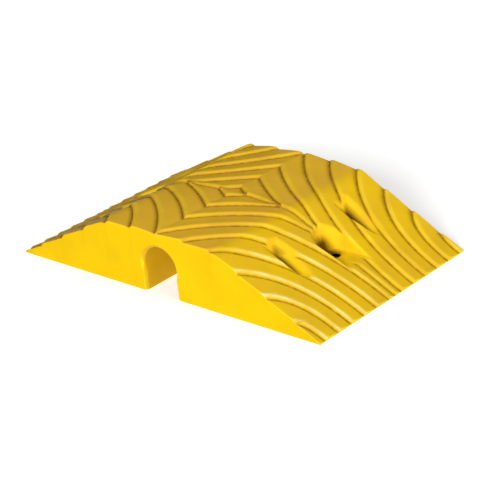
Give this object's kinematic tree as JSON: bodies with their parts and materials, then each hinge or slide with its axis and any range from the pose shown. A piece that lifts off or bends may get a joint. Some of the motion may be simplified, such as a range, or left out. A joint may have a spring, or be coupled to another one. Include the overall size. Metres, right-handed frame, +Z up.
{
  "type": "cable protector ramp",
  "caption": "Drive-over cable protector ramp segment with a covered channel, shingled grip relief and lined fixing holes.",
  "frame": {"origin": "centre of the underside, on the ground", "axes": "+X across the ramp in the driving direction, +Y along the cable channel, +Z up"},
  "size_m": [0.43, 0.248, 0.0744],
  "materials": {
    "yellow_moulding": "satin moulded polyurethane",
    "zinc_steel": "zinc plated"
  },
  "bodies": {
    "root": {"ramp_body": "yellow_moulding", "fixing_sleeve_left": "zinc_steel", "fixing_sleeve_right": "zinc_steel", "fixing_washer_left": "zinc_steel", "fixing_washer_right": "zinc_steel"}
  },
  "joints": []
}
